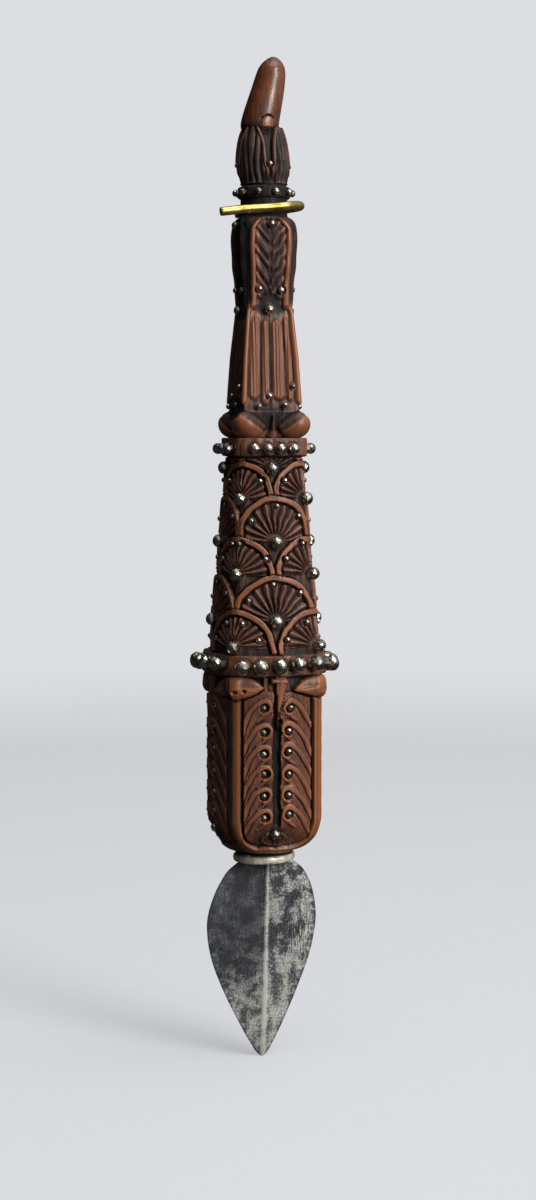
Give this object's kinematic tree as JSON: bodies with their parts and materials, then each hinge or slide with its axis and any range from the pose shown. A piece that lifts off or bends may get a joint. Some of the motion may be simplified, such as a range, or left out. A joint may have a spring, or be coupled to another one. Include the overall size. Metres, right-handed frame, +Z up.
{
  "type": "quill cutter",
  "caption": "Quill cutter: a leaf-shaped steel blade in a square, tapering, carved wooden handle set with round steel studs, with a ferrule, a horn finial and a wire clip on its neck.",
  "frame": {"origin": "tip of the blade, on the handle's axis", "axes": "+Z up the handle from the blade to the horn; -Y out of the front; +X to the right as seen from the front"},
  "size_m": [0.022, 0.022, 0.15],
  "materials": {
    "carved_wood": "carved, stained and waxed",
    "horn_wood": "polished",
    "stud_steel": "faceted and polished, a little tarnished",
    "blade_steel": "mottled grey patina",
    "ferrule_metal": "worn, pale",
    "wire_brass": "drawn wire, bright",
    "cutlers_resin": "hard dark resin"
  },
  "bodies": {
    "handle": {"finial_horn": "horn_wood", "calyx_cup": "carved_wood", "bead_ring_studs": "stud_steel", "calyx_studs": "stud_steel", "fluted_shaft": "carved_wood", "leaf_neck_studs": "stud_steel", "shaft_studs": "stud_steel", "upper_collar": "carved_wood", "upper_collar_studs": "stud_steel", "scale_section": "carved_wood", "scale_face_studs": "stud_steel", "scale_corner_studs": "stud_steel", "scale_small_studs": "stud_steel", "lower_collar": "carved_wood", "lower_collar_studs": "stud_steel", "grip": "carved_wood", "grip_eye_studs": "stud_steel", "grip_foot_studs": "stud_steel", "ferrule": "ferrule_metal", "tang_cement": "cutlers_resin", "blade": "blade_steel"},
    "clip": {"neck_clip": "wire_brass"}
  },
  "joints": [
    {"name": "clip_turn", "type": "hinge", "parent": "handle", "child": "clip", "pos_m": [0, 0, 0.1276], "axis": [0, 0, 1], "continuous": true}
  ]
}
